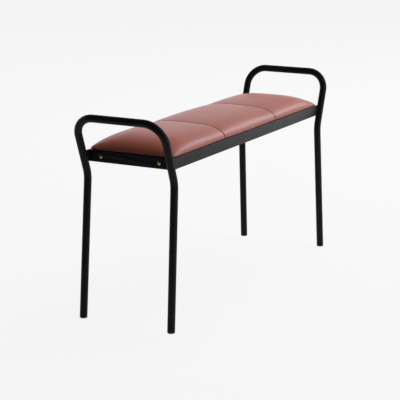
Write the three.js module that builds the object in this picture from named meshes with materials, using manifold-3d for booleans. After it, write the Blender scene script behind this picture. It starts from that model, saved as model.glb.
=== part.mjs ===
// Hotel luggage bench: two bent-tube end frames, an angle-steel seat frame between them
// and a crowned seat pad under a leather cover sewn from three panels.
// Millimetres, +Z up, X along the seat, the front at -Y, origin on the floor under the middle.
import * as THREE from "three";
import { mergeVertices } from "three/addons/utils/BufferGeometryUtils.js";
import Module from "manifold-3d";

const wasm = await Module();
wasm.setup();

// Seat frame of angle steel
const SEAT_HALF_LENGTH = 483.5; // middle of the bench to the outer face of an end bracket
const SEAT_HALF_DEPTH = 137; // middle of the bench to the outer face of a long rail
const RAIL_BOTTOM = 455;
const RAIL_HEIGHT = 33;
const RAIL_FLANGE = 25;
const STEEL_THICKNESS = 3;

// End frames: one bent tube each
const TUBE_DIAMETER = 22;
const TUBE_WALL = 1.5;
const TUBE_OUTSET = 3; // tube centres stand this far outside the long rails
const HANDLE_HEIGHT = 601; // floor to the top of the handle bar
const FOOT_FLARE = 4.6; // each foot stands this far outside its upright, front to rear
const KINK_SETBACK = 1.8; // the corner below the seat lies this far inside the bracket's face
const KINK_DROP = 38.1; // and this far below the rails
const LEG_SPLAY = THREE.MathUtils.degToRad(4.4); // legs lean out towards the floor
const HANDLE_LEAN = THREE.MathUtils.degToRad(20); // handles lean out towards the top
const KINK_RADIUS = 85;
const HANDLE_RADIUS = 60;

// Foot plugs
const PLUG_HEIGHT = 5; // the part that shows below the tube
const PLUG_SPIGOT = 14; // the part inside the tube
const PLUG_ROUNDING = 2;
const PLUG_LEAD = 1; // chamfer that leads the spigot in

// End brackets: pressed plates whose ears reach out to the tubes
const BRACKET_BEND = 2; // inner radius of the pressed corners

// Brass bolts, washers and nuts that hold the brackets to the seat frame
const BOLT_INSET = 43; // from the outer face of the long rail
const BOLT_RISE = 16; // above the bottom of the rails
const BOLT_DIAMETER = 6;
const BOLT_HEAD_DIAMETER = 11;
const BOLT_HEAD_HEIGHT = 3.4;
const BOLT_SOCKET = 4; // across the flats
const BOLT_SOCKET_DEPTH = 2;
const BOLT_TAIL = 1.5; // thread that stands out of the nut
const BOLT_CHAMFER = 0.7;
const WASHER_DIAMETER = 12.5;
const WASHER_THICKNESS = 1.2;
const NUT_WIDTH = 10; // across the flats
const NUT_HEIGHT = 5;

// Seat pad
const PAD_END_OVERHANG = 0.8; // past the end rails
const PAD_SIDE_INSET = 1.5; // inside the faces of the long rails
const PAD_CORNER = 14;
const PAD_EDGE = 4.5; // upright edge above the seat frame
const PAD_CROWN = 38.5; // middle of a panel above that edge
const LEATHER = 1.5;
const HEM = 14; // leather turned in under the board
const SEAM_HALF_SPACING = 172;
const SEAM_DIP = 5.5; // how far a seam pulls the crown down
const SEAM_DRAW = 1.2; // how far a seam pulls the sides in
const SEAM_WIDTH = 16; // reach of that pull along the pad
const BOARD_THICKNESS = 9;
const DUST_COVER_THICKNESS = 0.8;

// Screws that hold the board to the seat frame
const SCREW_END_INSET = 163.5; // outer screws, from the face of an end bracket
const SCREW_DIAMETER = 4;
const SCREW_HEAD_DIAMETER = 8;
const SCREW_HEAD_HEIGHT = 2.4;
const SCREW_BITE = 7; // depth in the board
const SCREW_POINT = 3; // length of the tapered tip

// Fits
const CLEARANCE = 0.3; // between pieces that touch

// Facets
const TUBE_SIDES = 20;
const ROUND_SIDES = 16;
const BEND_STEP = THREE.MathUtils.degToRad(15);

// Sizes that follow from those above
const TUBE_RADIUS = TUBE_DIAMETER / 2;
const TUBE_LINE = SEAT_HALF_DEPTH + TUBE_OUTSET; // middle of the bench to an upright
const KINK_HALF_LENGTH = SEAT_HALF_LENGTH - KINK_SETBACK;
const KINK_HEIGHT = RAIL_BOTTOM - KINK_DROP;
const RAIL_TOP = RAIL_BOTTOM + RAIL_HEIGHT;
const FLANGE_UNDERSIDE = RAIL_TOP - STEEL_THICKNESS;
const END_RAIL_FACE = SEAT_HALF_LENGTH - STEEL_THICKNESS - CLEARANCE;
const BOLT_LINE = SEAT_HALF_DEPTH - BOLT_INSET;
const BOLT_HEIGHT = RAIL_BOTTOM + BOLT_RISE;
const PAD_HALF_LENGTH = END_RAIL_FACE + PAD_END_OVERHANG;
const PAD_HALF_DEPTH = SEAT_HALF_DEPTH - PAD_SIDE_INSET;
const PAD_BOTTOM = RAIL_TOP + CLEARANCE;
const BOARD_BOTTOM = PAD_BOTTOM + LEATHER + CLEARANCE;
const BOARD_TOP = BOARD_BOTTOM + BOARD_THICKNESS;
const HEM_EDGE = PAD_HALF_DEPTH - HEM;
const FLANGE_EDGE = SEAT_HALF_DEPTH - RAIL_FLANGE;
const SCREW_LINE = (HEM_EDGE + FLANGE_EDGE) / 2; // midway between the hem and the flange's edge
const SCREW_REACH = SEAT_HALF_LENGTH - SCREW_END_INSET;
const SIDES = [-1, 1];

// Materials
const finish = (color, roughness, metalness) =>
  new THREE.MeshStandardMaterial({ color, roughness, metalness });
const blackSteel = () => finish(0x1b1b1c, 0.5, 0.3);
const blackPlastic = () => finish(0x141414, 0.6, 0);
const brass = () => finish(0xb5894a, 0.3, 1);
const zincSteel = () => finish(0xb8bcc0, 0.4, 1);
const leather = () => finish(0x8f5146, 0.45, 0);
const foam = () => finish(0xe6ddc4, 0.95, 0);
const plywood = () => finish(0xc8a577, 0.75, 0);
const blackCloth = () => finish(0x1d1d1d, 0.95, 0);

// Joins and cuts of closed surfaces
function solidFrom(geometry) {
  const bare = geometry.clone();
  bare.deleteAttribute("normal");
  bare.deleteAttribute("uv");
  const merged = mergeVertices(bare, 1e-3);
  return new wasm.Manifold(
    new wasm.Mesh({
      numProp: 3,
      vertProperties: new Float32Array(merged.attributes.position.array),
      triVerts: new Uint32Array(merged.index.array),
    }),
  );
}

function geometryFrom(solid) {
  const mesh = solid.getMesh();
  const geometry = new THREE.BufferGeometry();
  geometry.setAttribute("position", new THREE.BufferAttribute(mesh.vertProperties, 3));
  geometry.setIndex(new THREE.BufferAttribute(mesh.triVerts, 1));
  geometry.computeVertexNormals();
  return geometry;
}

function boxBetween(low, high) {
  const size = high.clone().sub(low);
  const middle = high.clone().add(low).multiplyScalar(0.5);
  return new THREE.BoxGeometry(size.x, size.y, size.z).translate(middle.x, middle.y, middle.z);
}

// A round bar from one point to another
function roundBar(radius, from, to, sides = ROUND_SIDES) {
  const along = to.clone().sub(from);
  const turn = new THREE.Quaternion().setFromUnitVectors(
    new THREE.Vector3(0, 1, 0),
    along.clone().normalize(),
  );
  const middle = from.clone().addScaledVector(along, 0.5);
  return new THREE.CylinderGeometry(radius, radius, along.length(), sides)
    .applyQuaternion(turn)
    .translate(middle.x, middle.y, middle.z);
}

function revolve(profile) {
  const points = profile.map(([radius, height]) => new THREE.Vector2(radius, height));
  return new THREE.LatheGeometry(points, ROUND_SIDES);
}

function piece(name, geometry, material) {
  const mesh = new THREE.Mesh(geometry, material);
  mesh.name = name;
  return mesh;
}

// Bent tube: straight runs with an arc at each corner, one station at each end of a run
class BentPath extends THREE.Curve {
  constructor(corners, radii) {
    super();
    this.stations = [];
    corners.forEach((corner, i) => {
      const before = corners[i - 1];
      const after = corners[i + 1];
      if (before && after) this.addBend(before, corner, after, radii[i]);
      else if (after) this.addStation(corner, after.clone().sub(corner));
      else this.addStation(corner, corner.clone().sub(before));
    });
  }

  addStation(point, direction) {
    this.stations.push({ point: point.clone(), tangent: direction.clone().normalize() });
  }

  addBend(before, corner, after, radius) {
    const arriving = corner.clone().sub(before).normalize();
    const leaving = after.clone().sub(corner).normalize();
    const angle = arriving.angleTo(leaving);
    const axis = arriving.clone().cross(leaving).normalize();
    const start = corner.clone().addScaledVector(arriving, -radius * Math.tan(angle / 2));
    const centre = start.clone().addScaledVector(axis.clone().cross(arriving), radius);
    const steps = Math.ceil(angle / BEND_STEP);
    for (let step = 0; step <= steps; step++) {
      const turned = (angle * step) / steps;
      const point = start.clone().sub(centre).applyAxisAngle(axis, turned).add(centre);
      this.addStation(point, arriving.clone().applyAxisAngle(axis, turned));
    }
  }

  get steps() {
    return this.stations.length - 1;
  }

  getUtoTmapping(u) {
    return u;
  }

  getPoint(t, target = new THREE.Vector3()) {
    return target.copy(this.stations[Math.round(t * this.steps)].point);
  }

  getTangent(t, target = new THREE.Vector3()) {
    return target.copy(this.stations[Math.round(t * this.steps)].tangent);
  }
}

// Centreline corners of the end frame that stands at -X, for the front (-1) and rear (1) upright
function uprightX(height) {
  return -KINK_HALF_LENGTH - (height - KINK_HEIGHT) * Math.tan(HANDLE_LEAN);
}

function kinkCorner(side) {
  return new THREE.Vector3(-KINK_HALF_LENGTH, side * TUBE_LINE, KINK_HEIGHT);
}

function floorPoint(side) {
  const out = KINK_HALF_LENGTH + KINK_HEIGHT * Math.tan(LEG_SPLAY);
  return new THREE.Vector3(-out, side * (TUBE_LINE + FOOT_FLARE), 0);
}

function handleCorner(side) {
  const height = HANDLE_HEIGHT - TUBE_RADIUS;
  return new THREE.Vector3(uprightX(height), side * TUBE_LINE, height);
}

function legDirection(side) {
  return kinkCorner(side).sub(floorPoint(side)).normalize();
}

function legFrameTube() {
  const [front, rear] = SIDES;
  const tubeEnd = (side) => floorPoint(side).addScaledVector(legDirection(side), PLUG_HEIGHT);
  const path = new BentPath(
    [
      tubeEnd(front),
      kinkCorner(front),
      handleCorner(front),
      handleCorner(rear),
      kinkCorner(rear),
      tubeEnd(rear),
    ],
    [0, KINK_RADIUS, HANDLE_RADIUS, HANDLE_RADIUS, KINK_RADIUS, 0],
  );
  const section = new THREE.Shape().absarc(0, 0, TUBE_RADIUS, 0, 2 * Math.PI);
  section.holes.push(new THREE.Path().absarc(0, 0, TUBE_RADIUS - TUBE_WALL, 0, 2 * Math.PI));
  return new THREE.ExtrudeGeometry(section, {
    steps: path.steps,
    curveSegments: TUBE_SIDES / 2,
    extrudePath: path,
    bevelEnabled: false,
  });
}

// Plug of a foot: turned about the leg, its underside cut level with the floor
function footPlug(side) {
  const spigot = TUBE_RADIUS - TUBE_WALL - CLEARANCE;
  const below = -PLUG_ROUNDING;
  const top = PLUG_HEIGHT - CLEARANCE;
  const rounded = [0, 1, 2, 3].map((step) => {
    const angle = (step / 3) * (Math.PI / 2);
    return [
      TUBE_RADIUS - PLUG_ROUNDING + PLUG_ROUNDING * Math.sin(angle),
      PLUG_ROUNDING - PLUG_ROUNDING * Math.cos(angle),
    ];
  });
  const turned = revolve([
    [0, below],
    [TUBE_RADIUS - PLUG_ROUNDING, below],
    ...rounded,
    [TUBE_RADIUS, top],
    [spigot, top],
    [spigot, PLUG_HEIGHT + PLUG_SPIGOT - PLUG_LEAD],
    [spigot - PLUG_LEAD, PLUG_HEIGHT + PLUG_SPIGOT],
    [0, PLUG_HEIGHT + PLUG_SPIGOT],
  ]);
  const foot = floorPoint(side);
  const turn = new THREE.Quaternion().setFromUnitVectors(
    new THREE.Vector3(0, 1, 0),
    legDirection(side),
  );
  turned.applyQuaternion(turn).translate(foot.x, foot.y, foot.z);
  const reach = new THREE.Vector3(TUBE_DIAMETER, TUBE_DIAMETER, TUBE_DIAMETER);
  const underFloor = boxBetween(foot.clone().sub(reach), foot.clone().add(reach).setZ(0));
  return geometryFrom(solidFrom(turned).subtract(solidFrom(underFloor)));
}

// Bracket plate with its two ears, coped to the leaning tubes
function endBracket() {
  const face = -SEAT_HALF_LENGTH;
  const inner = face + STEEL_THICKNESS;
  const outer = SEAT_HALF_DEPTH;
  const earFace = outer - STEEL_THICKNESS;
  const earEnd = uprightX(RAIL_TOP);
  const bend = BRACKET_BEND;
  const round = bend + STEEL_THICKNESS;
  const outline = new THREE.Shape();
  outline.moveTo(earEnd, -outer);
  outline.lineTo(inner - round, -outer);
  outline.absarc(inner - round, -outer + round, round, -Math.PI / 2, 0, false);
  outline.lineTo(inner, outer - round);
  outline.absarc(inner - round, outer - round, round, 0, Math.PI / 2, false);
  outline.lineTo(earEnd, outer);
  outline.lineTo(earEnd, earFace);
  outline.lineTo(face - bend, earFace);
  outline.absarc(face - bend, earFace - bend, bend, Math.PI / 2, 0, true);
  outline.lineTo(face, -earFace + bend);
  outline.absarc(face - bend, -earFace + bend, bend, 0, -Math.PI / 2, true);
  outline.lineTo(earEnd, -earFace);
  const pressed = new THREE.ExtrudeGeometry(outline, {
    depth: RAIL_HEIGHT,
    curveSegments: 4,
    bevelEnabled: false,
  }).translate(0, 0, RAIL_BOTTOM);
  let solid = solidFrom(pressed);

  const low = RAIL_BOTTOM - TUBE_DIAMETER;
  const high = RAIL_TOP + TUBE_DIAMETER;
  for (const side of SIDES) {
    const at = (height) => new THREE.Vector3(uprightX(height), side * TUBE_LINE, height);
    const tube = roundBar(TUBE_RADIUS + CLEARANCE, at(low), at(high), 2 * TUBE_SIDES);
    solid = solid.subtract(solidFrom(tube));
  }
  const beyond = new THREE.Shape([
    new THREE.Vector2(uprightX(low), low),
    new THREE.Vector2(uprightX(high), high),
    new THREE.Vector2(uprightX(high) - TUBE_DIAMETER, high),
    new THREE.Vector2(uprightX(high) - TUBE_DIAMETER, low),
  ]);
  const trimmed = new THREE.ExtrudeGeometry(beyond, {
    depth: 4 * TUBE_LINE,
    bevelEnabled: false,
  })
    .rotateX(Math.PI / 2)
    .translate(0, 2 * TUBE_LINE, 0);
  solid = solid.subtract(solidFrom(trimmed));

  for (const side of SIDES) solid = solid.subtract(solidFrom(boltHole(side)));
  return geometryFrom(solid);
}

function boltHole(side) {
  const y = side * BOLT_LINE;
  const from = new THREE.Vector3(-SEAT_HALF_LENGTH - TUBE_DIAMETER, y, BOLT_HEIGHT);
  const to = new THREE.Vector3(-SEAT_HALF_LENGTH + TUBE_DIAMETER, y, BOLT_HEIGHT);
  return roundBar(BOLT_DIAMETER / 2 + CLEARANCE, from, to);
}

// Bolt along +Y: domed head with a hexagon socket, its seat at zero
function brassBolt() {
  const radius = BOLT_HEAD_DIAMETER / 2;
  const tip = 2 * (STEEL_THICKNESS + 2 * CLEARANCE) + WASHER_THICKNESS + NUT_HEIGHT + BOLT_TAIL;
  const dome = [0, 1, 2, 3, 4].map((step) => {
    const angle = (step / 4) * (Math.PI / 2);
    return [radius * Math.sin(angle), -BOLT_HEAD_HEIGHT * Math.cos(angle)];
  });
  const turned = revolve([
    ...dome,
    [BOLT_DIAMETER / 2, 0],
    [BOLT_DIAMETER / 2, tip - BOLT_CHAMFER],
    [BOLT_DIAMETER / 2 - BOLT_CHAMFER, tip],
    [0, tip],
  ]);
  const socket = new THREE.CylinderGeometry(
    BOLT_SOCKET / Math.sqrt(3),
    BOLT_SOCKET / Math.sqrt(3),
    2 * BOLT_SOCKET_DEPTH,
    6,
  ).translate(0, -BOLT_HEAD_HEIGHT, 0);
  return geometryFrom(solidFrom(turned).subtract(solidFrom(socket)));
}

function washer() {
  const bore = BOLT_DIAMETER / 2 + CLEARANCE;
  return revolve([
    [bore, 0],
    [WASHER_DIAMETER / 2, 0],
    [WASHER_DIAMETER / 2, WASHER_THICKNESS],
    [bore, WASHER_THICKNESS],
    [bore, 0],
  ]);
}

function hexNut() {
  const corner = NUT_WIDTH / Math.sqrt(3);
  const points = [...Array(6).keys()].map((i) => {
    const angle = (i * Math.PI) / 3;
    return new THREE.Vector2(corner * Math.cos(angle), corner * Math.sin(angle));
  });
  const outline = new THREE.Shape(points);
  const bore = BOLT_DIAMETER / 2 + CLEARANCE;
  outline.holes.push(new THREE.Path().absarc(0, 0, bore, 0, 2 * Math.PI));
  return new THREE.ExtrudeGeometry(outline, {
    depth: NUT_HEIGHT,
    curveSegments: ROUND_SIDES / 2,
    bevelEnabled: false,
  })
    .rotateX(Math.PI / 2)
    .translate(0, NUT_HEIGHT, 0);
}

// One end of the bench, built at -X and turned half round for the other end
function endFrame(end) {
  const group = new THREE.Group();
  if (end === "right") group.rotation.z = Math.PI;
  const sideName = (side) => ((side < 0) === (end === "left") ? "front" : "rear");
  group.add(piece(`${end}_leg_frame`, legFrameTube(), blackSteel()));
  group.add(piece(`${end}_end_bracket`, endBracket(), blackSteel()));

  const seat = -SEAT_HALF_LENGTH - CLEARANCE;
  const washerSeat = -END_RAIL_FACE + STEEL_THICKNESS + CLEARANCE;
  const nutSeat = washerSeat + WASHER_THICKNESS + CLEARANCE;
  for (const side of SIDES) {
    const where = `${end}_${sideName(side)}`;
    const threaded = [
      [piece(`brass_bolt_${where}`, brassBolt(), brass()), seat],
      [piece(`bolt_washer_${where}`, washer(), zincSteel()), washerSeat],
      [piece(`bolt_nut_${where}`, hexNut(), zincSteel()), nutSeat],
    ];
    for (const [mesh, x] of threaded) {
      mesh.rotation.z = -Math.PI / 2;
      mesh.position.set(x, side * BOLT_LINE, BOLT_HEIGHT);
      group.add(mesh);
    }
    group.add(piece(`foot_plug_${where}`, footPlug(side), blackPlastic()));
  }
  return group;
}

// Angle-steel rail with mitred ends, its outer face at -Y and its flange on top, holes as given
function mitredRail(length, outerFace, holes) {
  const section = new THREE.Shape([
    new THREE.Vector2(0, 0),
    new THREE.Vector2(STEEL_THICKNESS, 0),
    new THREE.Vector2(STEEL_THICKNESS, RAIL_HEIGHT - STEEL_THICKNESS),
    new THREE.Vector2(RAIL_FLANGE, RAIL_HEIGHT - STEEL_THICKNESS),
    new THREE.Vector2(RAIL_FLANGE, RAIL_HEIGHT),
    new THREE.Vector2(0, RAIL_HEIGHT),
  ]);
  const bar = new THREE.ExtrudeGeometry(section, { depth: length, bevelEnabled: false });
  const points = bar.getAttribute("position");
  for (let i = 0; i < points.count; i++) {
    const inwards = points.getX(i);
    const fromMiddle = points.getZ(i) - length / 2;
    const mitred = Math.sign(fromMiddle) * (length / 2 - inwards - CLEARANCE);
    points.setXYZ(i, mitred, inwards - outerFace, RAIL_BOTTOM + points.getY(i));
  }
  let solid = solidFrom(bar);
  for (const hole of holes) solid = solid.subtract(solidFrom(hole));
  return geometryFrom(solid);
}

const screwPlaces = [-SCREW_REACH, 0, SCREW_REACH];

function screwHole(x, top) {
  const y = -SCREW_LINE;
  const from = new THREE.Vector3(x, y, RAIL_BOTTOM);
  const to = new THREE.Vector3(x, y, top);
  return roundBar(SCREW_DIAMETER / 2 + CLEARANCE, from, to, ROUND_SIDES / 2);
}

function seatFrame() {
  const group = new THREE.Group();
  const longHoles = screwPlaces.map((x) => screwHole(x, BOARD_TOP));
  const endHoles = SIDES.map((side) => {
    const x = side * BOLT_LINE;
    const from = new THREE.Vector3(x, -END_RAIL_FACE - TUBE_DIAMETER, BOLT_HEIGHT);
    const to = new THREE.Vector3(x, -END_RAIL_FACE + TUBE_DIAMETER, BOLT_HEIGHT);
    return roundBar(BOLT_DIAMETER / 2 + CLEARANCE, from, to);
  });
  const longRail = () => mitredRail(2 * END_RAIL_FACE, SEAT_HALF_DEPTH, longHoles);
  const endRail = () => mitredRail(2 * SEAT_HALF_DEPTH, END_RAIL_FACE, endHoles);
  const turned = (mesh, angle) => {
    mesh.rotation.z = angle;
    return mesh;
  };
  group.add(piece("front_rail", longRail(), blackSteel()));
  group.add(turned(piece("rear_rail", longRail(), blackSteel()), Math.PI));
  group.add(turned(piece("left_end_rail", endRail(), blackSteel()), -Math.PI / 2));
  group.add(turned(piece("right_end_rail", endRail(), blackSteel()), Math.PI / 2));
  return group;
}

// Crowned pad: a grid of stations over its plan, drawn down and in at the seams
const swell = (share, sharpness, fullness) =>
  (1 - Math.abs(share) ** sharpness) ** fullness;
const acrossSwell = (share) => swell(share, 3.3, 0.52);
const alongSwell = (share) => swell(share, 10.5, 0.68);
const seamPull = (x) => Math.exp(-(((Math.abs(x) - SEAM_HALF_SPACING) / SEAM_WIDTH) ** 2));

// Shares from -1 to 1 that crowd towards both ends
function crowded(steps, power) {
  return [...Array(2 * steps + 1).keys()].map((i) => {
    const share = (i - steps) / steps;
    return Math.sign(share) * (1 - (1 - Math.abs(share)) ** power);
  });
}

// Shares of the half length: close together at a seam, and crowded towards the end
function lengthStations() {
  const near = [-2, -1.1, -0.5, 0, 0.5, 1.1, 2].map((k) => SEAM_HALF_SPACING + k * SEAM_WIDTH);
  const first = near[0] / 2;
  const last = near[near.length - 1];
  const steps = 9;
  const towardsEnd = [...Array(steps).keys()].map((i) => {
    const crowding = 1 - (1 - (i + 1) / steps) ** 2;
    return last + (PAD_HALF_LENGTH - last) * crowding;
  });
  const half = [first, ...near, ...towardsEnd].map((x) => x / PAD_HALF_LENGTH);
  return [...half.map((share) => -share).reverse(), 0, ...half];
}

function padSolid(inset) {
  const halfLength = PAD_HALF_LENGTH - inset;
  const halfDepth = PAD_HALF_DEPTH - inset;
  const corner = PAD_CORNER - inset;
  const bottom = PAD_BOTTOM + inset;
  const along = lengthStations();
  const across = crowded(8, 2);
  const last = across.length - 1;
  const positions = [];
  const index = [];
  for (const u of along)
    for (const v of across) {
      const past = Math.max(0, Math.abs(v) * halfDepth - (halfDepth - corner));
      const intoCorner = Math.min(1, past / corner);
      const rounding = corner * (1 - Math.sqrt(1 - intoCorner ** 2));
      const x = u * (halfLength - rounding);
      const pull = seamPull(x);
      const y = v * (halfDepth - SEAM_DRAW * pull);
      const rise = (PAD_CROWN - SEAM_DIP * pull) * acrossSwell(v) * alongSwell(u);
      positions.push(x, y, PAD_BOTTOM + PAD_EDGE + rise - inset);
    }
  const at = (i, j) => i * across.length + j;
  for (let i = 0; i + 1 < along.length; i++)
    for (let j = 0; j < last; j++) {
      index.push(at(i, j), at(i + 1, j), at(i + 1, j + 1));
      index.push(at(i, j), at(i + 1, j + 1), at(i, j + 1));
    }

  // Edge loop, seen from above against the clock, with an upright wall and a flat underside
  const end = along.length - 1;
  const loop = [];
  for (let i = 0; i < end; i++) loop.push(at(i, 0));
  for (let j = 0; j < last; j++) loop.push(at(end, j));
  for (let i = end; i > 0; i--) loop.push(at(i, last));
  for (let j = last; j > 0; j--) loop.push(at(0, j));
  const firstBelow = positions.length / 3;
  const contour = loop.map((k) => new THREE.Vector2(positions[3 * k], positions[3 * k + 1]));
  for (const { x, y } of contour) positions.push(x, y, bottom);
  loop.forEach((upper, k) => {
    const next = (k + 1) % loop.length;
    index.push(upper, firstBelow + k, firstBelow + next);
    index.push(upper, firstBelow + next, loop[next]);
  });
  for (const [a, b, c] of THREE.ShapeUtils.triangulateShape(contour, []))
    index.push(firstBelow + a, firstBelow + c, firstBelow + b);

  const geometry = new THREE.BufferGeometry();
  geometry.setAttribute("position", new THREE.Float32BufferAttribute(positions, 3));
  geometry.setIndex(index);
  return solidFrom(geometry);
}

function slab(fromX, toX, halfDepth, fromZ, toZ) {
  return solidFrom(
    boxBetween(
      new THREE.Vector3(fromX, -halfDepth, fromZ),
      new THREE.Vector3(toX, halfDepth, toZ),
    ),
  );
}

function seatPad() {
  const group = new THREE.Group();
  const far = 2 * PAD_HALF_LENGTH;
  const above = HANDLE_HEIGHT;

  const underHem = slab(
    HEM - PAD_HALF_LENGTH,
    PAD_HALF_LENGTH - HEM,
    HEM_EDGE,
    RAIL_BOTTOM,
    BOARD_BOTTOM,
  );
  const cover = padSolid(0).subtract(padSolid(LEATHER)).subtract(underHem);
  const seamEdge = SEAM_HALF_SPACING - CLEARANCE / 2;
  const panels = [
    ["cover_panel_left", -far, -seamEdge - CLEARANCE],
    ["cover_panel_middle", -seamEdge, seamEdge],
    ["cover_panel_right", seamEdge + CLEARANCE, far],
  ];
  for (const [name, from, to] of panels) {
    const panel = cover.intersect(slab(from, to, far, RAIL_BOTTOM, above));
    group.add(piece(name, geometryFrom(panel), leather()));
  }

  const core = padSolid(LEATHER + CLEARANCE);
  let board = core.intersect(slab(-far, far, far, BOARD_BOTTOM, BOARD_TOP));
  for (const angle of [0, Math.PI])
    for (const x of screwPlaces) {
      const pilot = screwHole(x, BOARD_BOTTOM + SCREW_BITE + CLEARANCE).rotateZ(angle);
      board = board.subtract(solidFrom(pilot));
    }
  group.add(piece("seat_board", geometryFrom(board), plywood()));
  const block = core.intersect(slab(-far, far, far, BOARD_TOP + CLEARANCE, above));
  group.add(piece("seat_foam", geometryFrom(block), foam()));

  const inside = RAIL_FLANGE + 2 * CLEARANCE;
  const cloth = new THREE.BoxGeometry(
    2 * (END_RAIL_FACE - inside),
    2 * (SEAT_HALF_DEPTH - inside),
    DUST_COVER_THICKNESS,
  );
  const dustCover = piece("dust_cover", cloth, blackCloth());
  dustCover.position.z = BOARD_BOTTOM - CLEARANCE - DUST_COVER_THICKNESS / 2;
  group.add(dustCover);
  return group;
}

// Pan-head screw along +Y, its head under the flange and its seat at zero
function boardScrew() {
  const radius = SCREW_DIAMETER / 2;
  const head = SCREW_HEAD_DIAMETER / 2;
  const seatToBoard = BOARD_BOTTOM - (FLANGE_UNDERSIDE - CLEARANCE);
  const tip = seatToBoard + SCREW_BITE;
  return revolve([
    [0, -SCREW_HEAD_HEIGHT],
    [head * 0.6, -SCREW_HEAD_HEIGHT],
    [head * 0.9, -SCREW_HEAD_HEIGHT * 0.7],
    [head, 0],
    [radius, 0],
    [radius, tip - SCREW_POINT],
    [0, tip],
  ]);
}

function boardScrews() {
  const group = new THREE.Group();
  const alongNames = ["left", "middle", "right"];
  for (const side of SIDES)
    screwPlaces.forEach((x, i) => {
      const name = `board_screw_${side < 0 ? "front" : "rear"}_${alongNames[i]}`;
      const screw = piece(name, boardScrew(), zincSteel());
      screw.rotation.x = Math.PI / 2;
      screw.position.set(x, side * SCREW_LINE, FLANGE_UNDERSIDE - CLEARANCE);
      group.add(screw);
    });
  return group;
}

const bench = new THREE.Group();
bench.add(endFrame("left"), endFrame("right"), seatFrame(), seatPad(), boardScrews());

export default bench;
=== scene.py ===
# %% [markdown]
# # A hotel luggage bench
# The bench has two end frames of bent black tube, a seat frame of angle steel between
# them, and a crowned pad under a reddish-brown leather cover sewn from three panels.
# The measured solids come in first as a fixed frame. Every piece below is then made in
# metres, in that same frame, so it can simply be modelled where it belongs.

import math

import bmesh
import bpy
import numpy as np
from mathutils import Matrix, Vector


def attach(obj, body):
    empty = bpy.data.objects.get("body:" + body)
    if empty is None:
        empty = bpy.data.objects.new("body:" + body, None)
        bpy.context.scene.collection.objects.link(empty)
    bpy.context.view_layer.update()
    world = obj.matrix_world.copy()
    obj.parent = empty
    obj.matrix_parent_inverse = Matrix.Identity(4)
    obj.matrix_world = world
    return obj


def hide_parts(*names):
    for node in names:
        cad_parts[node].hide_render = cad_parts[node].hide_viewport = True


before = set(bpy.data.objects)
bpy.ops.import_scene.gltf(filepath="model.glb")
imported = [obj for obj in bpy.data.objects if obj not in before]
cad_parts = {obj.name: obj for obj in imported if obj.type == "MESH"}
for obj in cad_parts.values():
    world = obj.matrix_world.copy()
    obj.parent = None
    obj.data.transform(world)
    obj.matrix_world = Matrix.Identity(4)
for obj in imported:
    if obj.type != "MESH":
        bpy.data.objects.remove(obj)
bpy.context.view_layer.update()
MM = 0.001
scene = bpy.context.scene
scene.view_settings.view_transform = "Standard"

# %% [markdown]
# ## The camera
# The photograph was taken from the front left corner with a long lens, from about twice
# the height of the bench. Its place was worked out from the lines of the tubes, so the
# camera is given as a spot, a point that it looks at, a small roll and a field of view.

# %% Camera
CAMERA_SPOT = Vector((-3.68644, -1.95593, 1.26454))
CAMERA_AIM = Vector((0.051737, 0.069864, 0.234578))
CAMERA_ROLL = math.radians(-0.116)
FIELD_OF_VIEW = math.radians(16.422)
SENSOR_WIDTH = 36  # in mm, as the lens is

bpy.ops.object.select_all(action="DESELECT")
bpy.ops.object.camera_add(location=CAMERA_SPOT)
camera = bpy.context.object
looking = (CAMERA_AIM - CAMERA_SPOT).to_track_quat("-Z", "Y").to_matrix()
camera.rotation_euler = (looking @ Matrix.Rotation(CAMERA_ROLL, 3, "Z")).to_euler()
camera.data.sensor_width = SENSOR_WIDTH
camera.data.lens = SENSOR_WIDTH / 2 / math.tan(FIELD_OF_VIEW / 2)
camera.data.clip_end = 100
scene.camera = camera
print("lens", round(camera.data.lens, 2), "mm")

# %% [markdown]
# ## Helpers for colour and shader nodes
# Colours are written as the hex values a painter would pick from a screen. Blender's
# shaders work in linear light, so one function converts them. A second small function
# adds a node, sets its values and links its inputs, which keeps each material readable.

# %% Colour and node helpers


def linear(hex_colour):
    """An sRGB hex colour as linear RGBA."""
    parts = [int(hex_colour[i : i + 2], 16) / 255 for i in (1, 3, 5)]
    return (*[p / 12.92 if p <= 0.04045 else ((p + 0.055) / 1.055) ** 2.4 for p in parts], 1)


def add_node(owner, kind, settings=None, **inputs):
    """A node of a material or world, with its settings and links.

    An input goes by its label, or by in0, in1 and so on where labels repeat. It takes a
    value, an output of another node, or a node, whose first output is then meant. The
    setting "stops" holds the two (place, hex colour) stops of a colour ramp.
    """
    node = owner.node_tree.nodes.new(kind)
    for name, value in (settings or {}).items():
        if name == "stops":
            for element, (place, colour) in zip(node.color_ramp.elements, value):
                element.position = place
                element.color = linear(colour)
        else:
            setattr(node, name, value)
    for name, value in inputs.items():
        numbered = name.startswith("in") and name[2:].isdigit()
        socket = node.inputs[int(name[2:]) if numbered else name.replace("_", " ")]
        if isinstance(value, bpy.types.Node):
            value = value.outputs[0]
        if isinstance(value, bpy.types.NodeSocket):
            owner.node_tree.links.new(value, socket)
        else:
            socket.default_value = value
    return node


def new_material(name):
    """A node material without any nodes yet."""
    material = bpy.data.materials.new(name)
    material.use_nodes = True
    material.node_tree.nodes.clear()
    return material


# %% [markdown]
# ## The studio
# The bench stands on a pale, even ground that runs out of the picture on all sides. The
# floor shows its pale colour to the camera and to reflections, mixed with some ordinary
# diffuse shading so that the legs still cast a soft shadow on it.

# %% Floor
PALE = linear("#f6f6f6")
FLOOR_SIZE = 60
FLOOR_DROP = 0.3 * MM  # keeps the floor clear of the feet
FLOOR_GLOW = 1.015
SHADOW_SHARE = 0.06

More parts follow.
